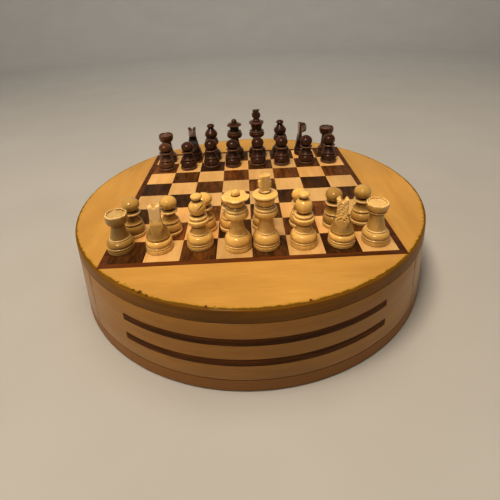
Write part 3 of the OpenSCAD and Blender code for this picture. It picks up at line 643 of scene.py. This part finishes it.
def knight_head(cut_mane):
    """The head and the bell it stands on, facing +X: a turned blank, cut flat behind, hollowed on both sides."""
    low, high, step = (-9.8, -9.8, 9.4), (9.8, 9.8, 39.6), 0.36
    x, y, z = carve_grid(low, high, step)
    cuts = np.abs(((z + 0.55 * np.abs(y - 0.4)) / 2.3) % 1 - 0.5) * 2
    cuts = cuts * (0.7 + 0.45 * np.sin(1.1 * z + 1.7 * y)) if cut_mane else 0 * cuts
    mane = np.clip((-3.2 - x) / 1.0, 0, 1) * np.clip((z - 20.5) / 1.5, 0, 1) * np.clip((38.2 - z) / 1.0, 0, 1)
    side = [(-9.3, 9), (-9.3, 12), (-8.0, 15.5), (-6.9, 19), (-5.7, 22.3), (-5.0, 25.3), (-4.9, 36.4), (-4.5, 38.0),
            (-3.6, 38.8), (-1.9, 38.4), (0.6, 37.9), (2.6, 37.8), (3.9, 36.6), (4.2, 33), (4.0, 29.8), (3.1, 28.5),
            (0.4, 27.9), (-1.3, 27.9), (-1.9, 26.3), (-1.7, 23.6), (-0.5, 20.9), (2.1, 18.4), (5.3, 16.3),
            (7.7, 14.3), (9.3, 12.4), (9.3, 9)]
    profile = polygon_distance(x, z, side) + 0.55 * cuts * mane
    bell = np.hypot(x, y) - np.interp(z, [9.4, 10.3, 11, 12, 13, 15, 17, 40],
                                      [7.9, 8.1, 8.9, 8.85, 8.4, 7.9, 7.7, 7.7])
    flanks = np.abs(y) - np.interp(z, [9, 12, 14, 16, 18, 20, 22, 26, 30, 34, 39],
                                   [10, 9.3, 7.8, 6.9, 6.2, 5.6, 5.0, 4.3, 4.0, 4.15, 4.6])
    shape = smooth_max(smooth_max(bell, flanks + 0.65 * cuts * mane, 0.7), profile, 0.35)
    share = np.clip((z - 26.5) / 1.5, 0, 1)
    narrow = np.interp(x, [-9, -1.5, 4.2], [5.2, 4.6, 2.4])
    shape = smooth_max(shape, np.abs(y) - (9.5 + (narrow - 9.5) * share), 0.6)
    notch = np.abs(y) * 0.9 - (z - 35.5 + 0.25 * (x + 4.9)) * 0.48
    shape = smooth_max(shape, -notch, 0.15)
    for s in (-1, 1):
        shape = smooth_min(shape, ball(x, y, z, (-0.6, s * 2.0, 30.6), 2.3), 0.8)
        shape = smooth_max(shape, -ball(x, y, z, (1.3, s * 4.4, 34.2), 1.25), 0.3)
        shape = smooth_min(shape, ball(x, y, z, (1.3, s * 3.3, 34.2), 0.6), 0.2)
        shape = smooth_max(shape, -ball(x, y, z, (3.5, s * 2.9, 30.9), 0.5), 0.2)
        shape = smooth_max(shape, -rod(x, y, z, (4.4, s * 2.4, 29.6), (2.0, s * 3.4, 30.1), 0.3), 0.2)
        shape = smooth_max(shape, -rod(x, y, z, (-2.2, s * 4.7, 37.4), (-1.8, s * 4.7, 29.5), 0.4), 0.3)
    return skin(np.maximum(shape, 10.15 - z), low, step)


def king_cross(z0):
    """The king's finial: a thick plate with flared arms and sides that slope back from a flat middle."""
    half_t = 2.9
    low, high, step = (-5.6, -4.0, -1.6), (5.6, 4.0, 13.2), 0.28
    x, y, z = carve_grid(low, high, step)
    right = [(3.6, -1), (3.6, 0.5), (2.5, 1.9), (4.9, 3.1), (4.9, 6.9), (2.5, 8.5), (4.2, 11.85)]
    left = [(-4.1, 11.3), (-2.8, 8.9), (-4.9, 7.4), (-4.9, 3.3), (-2.6, 1.9), (-3.6, 0.5), (-3.6, -1)]
    bevel = np.abs(y) - half_t + 0.85 * np.maximum(0, np.abs(x) - 2.7)
    verts, faces = skin(smooth_max(polygon_distance(x, z, right + left), bevel, 0.3), low, step)
    return [(vx, vy, vz + z0) for vx, vy, vz in verts], faces


def carved_wear(verts, faces):
    """Dirt in the hollows and rubbed edges of a carved part, from how each vertex lies to its neighbours."""
    mesh = bpy.data.meshes.new("scratch")
    mesh.from_pydata(verts, [], faces)
    bm = bmesh.new()
    bm.from_mesh(mesh)
    bmesh.ops.recalc_face_normals(bm, faces=bm.faces)
    bm.normal_update()
    out = []
    for v in bm.verts:
        near = [e.other_vert(v) for e in v.link_edges]
        lift = sum((n.co - v.co).normalized().dot(v.normal) for n in near) / max(1, len(near))
        out.append(clamp(lift * 3.2, -1.0))
    bm.free()
    bpy.data.meshes.remove(mesh)
    return out


def joined(*parts):
    """One mesh of several closed ones: (verts, faces, marks of worn wood and painted light) each."""
    verts, faces, wear_and_painted_light = [], [], []
    for v, f, w in parts:
        start = len(verts)
        verts += v
        faces += [tuple(n + start for n in face) for face in f]
        wear_and_painted_light += w
    return verts, faces, wear_and_painted_light


# -------- the men


def foot_top(bulb_h):
    return DISC_H + RING_H + BULB_RISE + bulb_h + BEAD_H


def foot(neck_d, bulb_h):
    """A disc, a ring, a bulb that narrows to the neck, and a bead."""
    r = BASE_D / 2
    ring_r, ring_top = r - GROOVE / 2, DISC_H + RING_H
    wide_z = ring_top + BULB_RISE
    out = [(0, 0), (r - GROOVE, 0), (r, GROOVE), (r, DISC_H - GROOVE), (r - 0.8 * GROOVE, DISC_H),
           (ring_r, DISC_H + GROOVE), (ring_r, ring_top - GROOVE), (ring_r - 0.35, ring_top - 0.05)]
    out += arc(ring_r - UNDERCUT, wide_z, UNDERCUT, BULB_RISE - 0.05, -80, -12, 5)
    out += arc(neck_d / 2, wide_z, ring_r - neck_d / 2, bulb_h, 0, 90, 14)
    return out + arc(neck_d / 2 - 0.12, wide_z + bulb_h + BEAD_H / 2, BEAD_OUT, BEAD_H / 2, -90, 90, 8)


def stem(wide_d, thin_d, z, h):
    """A stem that is wide where it leaves the bead and narrows in a long curve."""
    steps = 13
    return [(thin_d / 2 + (wide_d - thin_d) / 2 * (1 - n / steps) ** 1.55, z + h * n / steps)
            for n in range(steps + 1)]


def collar(stem_r, r, upper_r, neck_r, low_z, wide_z, line_z, top_z):
    """A deep bowl with a wide edge, a dark line, and a ring on top."""
    half = (top_z - line_z) / 2
    return (arc(stem_r, wide_z, r - stem_r, wide_z - low_z, -84, 0, 11)
            + [(r - 0.06, wide_z + 0.35 * (line_z - wide_z)), (r - 0.28, line_z - 0.45), (r - 0.7, line_z - 0.1)]
            + [(upper_r - 0.75, line_z + 0.08)] + arc(upper_r - 0.85, line_z + half, 0.85, 0.9 * half, -62, 62, 7)
            + [(0.5 * (upper_r + neck_r) - 0.25, top_z - 0.1), (neck_r, top_z)])


def make_king(crown_r):
    h, stem_h, top_z = 5.7, 11.7, 46.55
    top = foot_top(h)
    rows = foot(13.3, h) + stem(13.3, 9.4, top, stem_h)
    rows += collar(4.7, 9.0, 8.5, 0.7 * crown_r, top + stem_h, 29.1, 31.3, 33.7)
    cup = arc(6.3, 34.4, 0.6, 0.55, -80, 80, 5)
    cup += [(6.2, 35.15), (6.6, 36.1), (7.05, 37.7), (7.55, 39.5), (7.95, 41.0), (8.5, 41.55)]
    cup += arc(8.25, 42.95, 1.25, 1.3, -55, 90, 9) + [(7.0, 44.55), (5.6, 44.85)]
    rows += [(r * crown_r / 9.5, z) for r, z in cup]
    rows += [(4.35, 45.0), (3.95, 45.15)] + arc(3.6, 45.85, 0.5, 0.7, -60, 90, 7) + [(0, top_z)]
    cross = king_cross(top_z)
    # The cross is darkened evenly as painted shade.
    return joined(turned(rows, 72), (*cross, [0.3] * len(cross[0])))


def make_queen(r, rim_z, dome_h):
    h, stem_h, crown_z, cone_z = 5.7, 11.2, 33.8, 35.1
    top = foot_top(h)
    ball_z = rim_z + dome_h + 0.85
    crease_z = ball_z - 1.26
    rows = foot(13.1, h) + stem(13.1, 8.6, top, stem_h)
    rows += collar(4.3, 9.0, 8.2, 0.6 * r + 0.3, top + stem_h, 28.3, 31.3, crown_z)
    rows += arc(0.585 * r, 34.45, 0.65, 0.5, -70, 70, 5)
    for share, up in ((0.59, 0.0), (0.6, 0.2), (0.62, 0.42), (0.655, 0.62), (0.72, 0.78), (0.83, 0.9), (0.96, 1.0)):
        rows.append((share * r, cone_z + up * (rim_z - 1.5 - cone_z)))
    rows += arc(r - 0.8, rim_z - 0.95, 0.8, 0.95, -30, 90, 8)
    for share in (0.2, 0.45, 0.72, 0.9):
        rows.append((r - 0.8 + (4.2 - r) * share, rim_z + 0.03 + (crease_z - rim_z) * share ** 0.8))
    rows += [(2.95, crease_z - 0.2)] + arc(0, ball_z, 3.2, 3.1, -24, 90, 14)

    def scallop(a, radius, z):
        level = (z - crown_z) / (rim_z - crown_z)
        if level < 0.5 or radius < 0.6 * r or z > rim_z + 0.3:
            return radius, z
        near = min(abs((a - c + math.pi) % (2 * math.pi) - math.pi) for c in SCALLOPS)
        depth = max(0.0, 1 - (near / 0.3) ** 2) ** 0.5
        grow = min(1.0, (level - 0.5) / 0.3)
        return radius - 1.35 * depth * grow * (radius - 0.6 * r) / (0.4 * r), z - 0.25 * depth * grow
    return turned(rows, 110, scallop)


def make_bishop(onion):
    """The dark bishops' heads are wider, and pointed like an onion."""
    h, stem_h, waist_r = 4.7, 5.7, 2.9
    top = foot_top(h)
    waist_z = HEAD_Z + math.sqrt(HEAD_R * HEAD_R - waist_r * waist_r)
    rows = foot(13.4, h) + stem(13.4, 10.4, top, stem_h)
    rows += collar(5.2, 8.2, 7.2, 3.6, top + stem_h, 21.8, 23.5, 26.5)
    if onion:
        rows += [(3.9, 26.8), (5.4, 27.6), (6.6, 28.9), (7.2, 30.3), (7.35, 31.5), (7.1, 32.8), (6.4, 34.2),
                 (5.3, 35.7), (4.1, 37.1)]
    else:
        rows += arc(0, HEAD_Z, HEAD_R, HEAD_R, -58, math.degrees(math.acos(waist_r / HEAD_R)), 22)
    rows += [(waist_r + 0.1, waist_z + 0.5), (3.4, waist_z + 1.3)]
    return turned(rows + arc(0, waist_z + 3.1, 4.4, 2.6, -32, 90, 12), 72)


def make_knight(cut_mane, rubbed_and_highlight, face_highlight):
    """The back of the neck is pale as worn wood with a painted highlight, the dark knights' faces get a painted
    highlight, and below the head the wood is darker towards the bottom as painted shade.
    """
    bulb_h = 3.6
    seat_z = foot_top(bulb_h) - BEAD_H
    rows = [p for p in foot(15.4, bulb_h) if p[1] < seat_z - 0.05] + [(7.6, seat_z + 0.12), (0, seat_z + 0.12)]
    head = knight_head(cut_mane)
    wear_and_painted_light = carved_wear(*head)
    for n, (x, y, z) in enumerate(head[0]):
        # Painted highlight on the back of the neck and on the dark knights' faces, over worn wood.
        if x < -4.0 and z > 24.8 + 0.27 * y * y or face_highlight and x > -2.5 and 28.1 < z < 36.6:
            wear_and_painted_light[n] = 0.4 * wear_and_painted_light[n] - rubbed_and_highlight
        else:
            # Painted shade: darker towards the bottom below the head.
            wear_and_painted_light[n] = max(-0.5, 0.7 * wear_and_painted_light[n] + 0.6 * clamp((26 - z) / 4))
    return joined(turned(rows, 64), (*head, wear_and_painted_light))


def make_rook(stem_h, ringed):
    h = 3.3
    top = foot_top(h)
    tower_z = top + stem_h
    rim_z = tower_z + 9.5
    rows = foot(14.2, h) + stem(14.0, 10.4, top, stem_h)
    if ringed:
        tower = [(5.45, 0.4), (5.9, 1.1), (6.5, 1.7)] + arc(6.45, 2.35, 0.75, 0.6, -75, 75, 6)
        tower += [(6.6, 3.15), (7.3, 3.6), (7.85, 4.5), (8.15, 5.7), (8.3, 7.0), (8.3, 8.2), (8.1, 9.0), (7.75, 9.4)]
    else:
        tower = [(5.5, 0.15), (5.95, 0.5), (6.6, 1.0), (7.2, 1.8), (7.75, 2.9), (8.05, 4.1), (8.25, 5.5), (8.3, 7.0),
                 (8.25, 8.2), (8.05, 9.0), (7.75, 9.4)]
    dish = [(7.35, 0), (7.15, 0.1), (6.9, 0.95), (6.5, 1.25), (5.6, 1.2), (4.0, 1.0), (2.0, 0.85), (0, 0.8)]
    rows += [(r, tower_z + z) for r, z in tower] + [(r, rim_z - deep) for r, deep in dish]

    def crenel(a, radius, z):
        if z < rim_z - 2.2:
            return radius, z
        x, y = radius * math.cos(a), radius * math.sin(a)
        if radius < 7.0:
            z += 0.9 * min(1.0, radius / 4) * noise.noise(Vector((x * 0.5, y * 0.5, 4.2)))
        elif z > rim_z - 0.8:
            z -= 0.7 * max(0.0, noise.noise(Vector((x * 0.8, y * 0.8, 1.7))))
        for at, half, depth in NOTCHES:
            off = abs((math.degrees(a) - at + 180) % 360 - 180)
            if off < half and radius > 5.6:
                z = min(z, rim_z - depth * (1 - (off / half) ** 3))
        return radius, min(z, rim_z)
    verts, faces, wear_and_painted_light = turned(rows, 120, crenel)
    # The dish floor is lightened as painted light falling into the bowl.
    return verts, faces, [-0.65 if z > rim_z - 2.5 and math.hypot(x, y) < 6.7 else w
                          for (x, y, z), w in zip(verts, wear_and_painted_light)]


def make_pawn(flat, neck_h):
    """flat is how tall the round head is against its width."""
    r, collar_z, collar_r, half_h = 6.85, 19.0, 6.0, 0.95
    base_r = PAWN_BASE_D / 2
    low = -math.degrees(math.asin(0.92))
    rows = [(0, 0), (base_r - GROOVE, 0), (base_r, GROOVE), (base_r, DISC_H - GROOVE), (base_r - 0.4, DISC_H - 0.05)]
    rows += arc(7.55, 5.5, 1.25, 2.15, -78, -10, 6) + arc(6.4, 5.5, 2.4, 4.7, 0, 84, 12)
    rows += [(6.45, 10.3)] + arc(6.5, 11.45, 0.95, 1.05, -80, 80, 8) + stem(13.0, 8.2, 12.6, collar_z - 12.6)
    rows += arc(collar_r, collar_z + half_h, half_h, half_h, -90, 90)
    rows += arc(0, collar_z + 2 * half_h + neck_h + (0.92 * r - GROOVE) * flat, r, r * flat, low, 90, 22)
    return turned(rows, 60)


# What makes each shape of man, on the axis and standing on z = 0
SHAPES = {
    "king": (make_king, 9.5), "king_dark": (make_king, 8.65),
    "queen": (make_queen, 10.35, 43.2, 0.9), "queen_dark": (make_queen, 8.6, 41.7, 2.4),
    "bishop": (make_bishop, False), "bishop_dark": (make_bishop, True),
    "knight": (make_knight, False, 1.1, False), "knight_cut": (make_knight, True, 0.7, False),
    "knight_dark": (make_knight, False, 1.25, True),
    "rook": (make_rook, 12.3, True), "rook_low": (make_rook, 10.4, False), "rook_dark": (make_rook, 13.4, False),
    "pawn": (make_pawn, 0.85, 1.0), "pawn_dark": (make_pawn, 0.93, 0.0), "pawn_low": (make_pawn, 0.82, 0.0),
}


def cut_slot(man):
    """Saws the bishop's slot out of the finished mesh."""
    bm = bmesh.new()
    line = [(0.25 * HEAD_R + 5.4 * n / 8, 0.14 * HEAD_R + 4.6 * n / 8 - 0.9 * (n / 8) ** 2) for n in range(9)]
    thick, reach = 0.5, 1.1 * HEAD_R
    ring = [(x, z - thick) for x, z in line] + [(x, z + thick) for x, z in reversed(line)]
    low, high = ([bm.verts.new((x * MM, y * MM, (z + HEAD_Z) * MM)) for x, z in ring] for y in (-reach, reach))
    bm.faces.new(low)
    bm.faces.new(high)
    for n in range(len(ring)):
        m = (n + 1) % len(ring)
        bm.faces.new((low[n], low[m], high[m], high[n]))
    bmesh.ops.recalc_face_normals(bm, faces=bm.faces)
    mesh = bpy.data.meshes.new("saw")
    bm.to_mesh(mesh)
    bm.free()
    saw = placed("saw", mesh)
    saw.matrix_world = man.matrix_world
    modifier = man.modifiers.new("slot", "BOOLEAN")
    modifier.object, modifier.operation, modifier.solver = saw, "DIFFERENCE", "EXACT"
    bpy.context.view_layer.update()
    cut = bpy.data.meshes.new_from_object(man.evaluated_get(bpy.context.evaluated_depsgraph_get()))
    man.modifiers.clear()
    man.data = cut
    bpy.data.objects.remove(saw)
    shade(cut)


def make_men(materials):
    shapes = {kind: make(*numbers) for kind, (make, *numbers) in SHAPES.items()}
    for side, turns in TURNS.items():
        for n, letter in enumerate(FILES):
            kind = BACK_RANK[n]
            name = f"{side}_{kind}" if kind in ("king", "queen") else f"{side}_{kind}_{letter}"
            for man, label, turn in ((kind, name, turns[n]), ("pawn", f"{side}_pawn_{letter}", 37 * n)):
                low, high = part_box(label)
                place = Vector(((low.x + high.x) / 2, (low.y + high.y) / 2, BOARD_Z * MM))
                matrix = Matrix.Translation(place) @ Matrix.Rotation(math.radians(turn), 4, "Z")
                usual = f"{man}_dark" if side == "dark" else man
                verts, faces, wear_and_painted_light = shapes[SPECIAL.get(label, usual)]
                tone = TONES.get(label, NEW_TONE * random.random())
                made = piece(f"{label}_body", verts, faces, materials[side], label, [label],
                             point_data={"wear_and_painted_light": wear_and_painted_light, "tone": [tone] * len(verts)}, matrix=matrix)
                if man == "bishop":
                    cut_slot(made)


# -------- the case


def bridged(total, size):
    """Faces of a tube whose verts come in closed rings of one size, with its two ends filled."""
    faces = []
    for start in range(0, total - size, size):
        for n in range(size):
            m = (n + 1) % size
            faces.append((start + n, start + m, start + size + m, start + size + n))
    return faces + [tuple(range(size)), tuple(range(total - 1, total - size - 1, -1))]


def swept(profile_at, stations, turn, along, across=0):
    """A profile carried round the axis: profile_at gives (radius, height, angle) rows for each station. The grain's
    coordinates start at the angle turn, moved by along and across."""
    verts, grains = [], []
    for station in stations:
        rows = profile_at(station)
        verts += [(r * math.sin(a), -r * math.cos(a), z) for r, z, a in rows]
        grains += [((a - turn) * CASE_R + along, z + across, r) for r, z, a in rows]
    return verts, bridged(len(verts), len(rows)), grains


def rounded_block(r0, r1, z0, z1, edge, steps=3):
    """A closed profile of a ring between two radii, its outer corners rounded."""
    return ([(r0, z0)] + arc(r1 - edge, z0 + edge, edge, edge, -90, 0, steps)
            + arc(r1 - edge, z1 - edge, edge, edge, 0, 90, steps) + [(r0, z1)])


def make_top_board(material):
    """The round board under the veneer, with softened rims and an edge whose grain runs round it."""
    edge, flat = 0.25, (0, 40.0, 80.0, 120.0, 150.0)
    round_h = RIM_ROUND - (BOARD_Z - VENEER_Z)
    worn = RIM_ROUND - math.sqrt(RIM_ROUND ** 2 - round_h ** 2)
    outline = [(r, TOP_Z) for r in flat] + arc(CASE_R - edge, TOP_Z + edge, edge, edge, -90, 0, 3)
    outline += arc(CASE_R - worn, VENEER_Z - round_h, worn, round_h, 0, 90, 6) + [(r, VENEER_Z) for r in flat[::-1]]
    verts, faces, _ = lathe(outline, 240, start=math.radians(90))
    grains = []
    for x, y, z in verts:
        r, along = math.hypot(x, y), (math.atan2(x, -y) + math.pi) * CASE_R
        grains.append((along, z, r - CASE_R) if r > flat[-1] + 1 else (x, y + 400, z))
    piece("top_board", verts, faces, material, "case", ["top_board"], corner_grain=grains,
          sharp=SHARP_CASE)


def make_margin(facing):
    """One quarter of the amber veneer, from the dark band's outer line to the worn rim."""
    inner = BAND_OUTER + VENEER_JOINT
    flat_r = CASE_R - RIM_ROUND
    end_r = flat_r + math.sqrt(RIM_ROUND ** 2 - (RIM_ROUND - BOARD_Z + VENEER_Z) ** 2)
    count = 120
    limit = math.radians(45) - VENEER_JOINT / inner
    edge_r = [CASE_R - 5, CASE_R - 3.5] + [flat_r + (end_r - flat_r) * k / 6 for k in range(7)]
    verts, rim = [], []
    for n in range(count + 1):
        a = -limit + 2 * limit * n / count
        line_r = inner / math.cos(a)
        a += math.radians(facing)
        dent = noise.noise(Vector((a * 22, 3.1, 0))) * 0.5 + noise.noise(Vector((a * 90, 7.7, 0))) * 0.5
        dent = 0.12 * max(0.0, dent - 0.05)
        rows = []
        for k, r in enumerate([line_r + (CASE_R - 5.5 - line_r) * k / 4 for k in range(4)] + edge_r):
            r = max(r, line_r + 0.002 * k)
            drop = RIM_ROUND - math.sqrt(RIM_ROUND ** 2 - max(0.0, r - flat_r) ** 2)
            drop += dent * max(0.0, 1 - (CASE_R - r) / 4)
            rows.append((r, max(VENEER_Z + 0.01, BOARD_Z - drop)))
            rim.append(clamp(1 - (end_r - r) / 6.0))
        for r in (max(end_r, line_r), line_r):
            rows.append((r, VENEER_Z))
            rim.append(1.0 if r > line_r + 0.5 else 0.0)
        verts += [(r * math.cos(a), r * math.sin(a), z) for r, z in rows]
    return verts, bridged(len(verts), len(rows)), rim


def make_margins(materials):
    for node, facings, key in (("margin_front_back", (-90, 90), "amber_x"), ("margin_sides", (0, 180), "amber_y")):
        for n, facing in enumerate(facings):
            verts, faces, rim = make_margin(facing)
            piece(f"{node}_{n + 1}", verts, faces, materials[key], "case", [node],
                  point_data={"rim": rim}, sharp=SHARP_CASE)


def spread(count, extra):
    """Stations from -1 to 1, closer together at the ends."""
    return sorted([-1 + 2 * n / count for n in range(count + 1)] + [s * e for s in (-1, 1) for e in extra])


def make_side(name, facing, material):
    """A bent side, cut off straight where the guide wall stands."""
    profile = rounded_block(CASE_R - SIDE_T, CASE_R, SPACE_Z + 0.02, TOP_Z - 0.02, 0.3)
    turn, corner_at = math.radians(facing), 0.992

    def profile_at(t):
        corner = 0.25 * (max(0.0, abs(t) - corner_at) / (1 - corner_at)) ** 2
        return [(r - corner * (r > CASE_R - 1), z, turn + t * math.acos(GUIDE_X / r)) for r, z in profile]
    verts, faces, grains = swept(profile_at, spread(56, (corner_at, 0.996)), turn, 900)
    piece(f"{name}_veneered", verts, faces, material, "case", [name], corner_grain=grains)


def make_drawer_front(end, materials):
    """A bent drawer front with two slots, and the dark stripes that fill them."""
    turn, along = {"front": (0.0, 300), "back": (math.pi, 600)}[end]
    block = rounded_block(CASE_R - FRONT_T, CASE_R, SPACE_Z + DRAWER_GAP, TOP_Z - DRAWER_GAP, 0.35)
    half, corner_at = STRIPE_H / 2, 0.9935
    slots = []
    for mid in (STRIPE_MID_Z - STRIPE_PITCH / 2, STRIPE_MID_Z + STRIPE_PITCH / 2):
        slots += [(CASE_R, mid + s * half, deep) for s, deep in ((-1, False), (-1, True), (1, True), (1, False))]
    lower = len(block) // 2
    profile = [(r, z, False) for r, z in block[:lower]] + slots + [(r, z, False) for r, z in block[lower:]]
    stop = math.radians(STRIPE_HALF_ANGLE) / math.asin(DRAWER_W / 2 / CASE_R)

    def profile_at(t):
        corner = 0.3 * (max(0.0, abs(t) - corner_at) / (1 - corner_at)) ** 2
        rows = []
        for r, z, deep in profile:
            if deep and abs(t) <= stop + 1e-6:
                r = CASE_R - STRIPE_T
            back_off = corner * (r > CASE_R - 1 and not deep)
            rows.append((r - back_off, z, turn + t * math.asin(DRAWER_W / 2 / r)))
        return rows
    verts, faces, grains = swept(profile_at, spread(96, (stop, stop + 0.0004, corner_at, 0.997)), turn, along)
    piece(f"{end}_drawer_front_veneered", verts, faces, materials["side"], f"{end}_drawer",
          [f"{end}_drawer_front"], corner_grain=grains)
    for s, label in ((-1, "low"), (1, "high")):
        mid = STRIPE_MID_Z + s * STRIPE_PITCH / 2
        strip = rounded_block(CASE_R - STRIPE_T, CASE_R - 0.03, mid - half + 0.04, mid + half - 0.04, 0.12, 2)
        reach = math.radians(STRIPE_HALF_ANGLE) - 0.0004

        def strip_at(t):
            return [(r, z, turn + t * reach) for r, z in strip]
        verts, faces, grains = swept(strip_at, spread(80, (0.999,)), turn, 150 * (2 + s), 40 * s)
        piece(f"{end}_drawer_stripe_{label}", verts, faces, materials["stripe"], f"{end}_drawer",
              [f"{end}_drawer_stripes"], corner_grain=grains)


def dress(node, material):
    """Gives a CAD node that keeps its own shape its material."""
    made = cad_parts[node]
    made.data.materials.clear()
    made.data.materials.append(material)


def make_case(materials):
    make_top_board(materials["top_edge"])
    make_margins(materials)
    make_side("left_bent_side", -90, materials["side"])
    make_side("right_bent_side", 90, materials["side"])
    for end in ("front", "back"):
        make_drawer_front(end, materials)
        dress(f"{end}_drawer_walls", materials["tray"])
        dress(f"{end}_drawer_floor", materials["floor_ply"])
        dress(f"{end}_drawer_felt", materials["tray_felt"])
    for node, key in (("base_screws", "steel"), ("stop_pins", "stop"), ("partition", "inner"),
                      ("left_guide_wall", "inner"), ("right_guide_wall", "inner"), ("felt_pads", "pad_felt"),
                      ("dark_squares", "dark_squares"), ("light_squares", "light_squares"), ("dark_band", "band"),
                      ("base_board", "base_edge")):
        dress(node, materials[key])


make_camera()
MATERIALS = make_materials()
make_stage()
make_case(MATERIALS)
make_men(MATERIALS)
